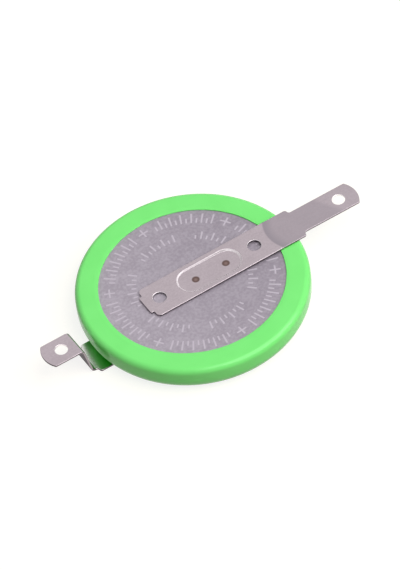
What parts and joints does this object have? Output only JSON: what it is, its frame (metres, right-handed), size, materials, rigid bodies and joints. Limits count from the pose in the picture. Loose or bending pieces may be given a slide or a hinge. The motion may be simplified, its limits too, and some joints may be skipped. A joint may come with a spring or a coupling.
{
  "type": "lithium coin cell",
  "caption": "Flat round lithium cell in a shrunk insulating sleeve, with a stamped solder tab welded to each face.",
  "frame": {"origin": "where the cell's axis meets the underside of the negative tab, which is the face the part rests on", "axes": "+Z along the cell's axis towards its positive face, +X along the positive tab towards its solder end"},
  "size_m": [0.0362, 0.0232, 0.0036],
  "materials": {
    "sleeve": "smooth bright green shrink film",
    "can_steel": "satin rolled steel with faint etched marks",
    "gasket": "moulded natural plastic",
    "cap_steel": "satin rolled steel",
    "lithium": "dull soft metal",
    "separator": "porous film",
    "cathode": "pressed powder",
    "collector": "perforated sheet",
    "tab_steel": "satin plated steel with heat-tinted weld spots"
  },
  "bodies": {
    "root": {"insulating_sleeve": "sleeve", "positive_can": "can_steel", "sealing_gasket": "gasket", "negative_cap": "cap_steel", "lithium_anode": "lithium", "separator": "separator", "cathode_pellet": "cathode", "current_collector": "collector", "positive_tab": "tab_steel", "negative_tab": "tab_steel"}
  },
  "joints": []
}
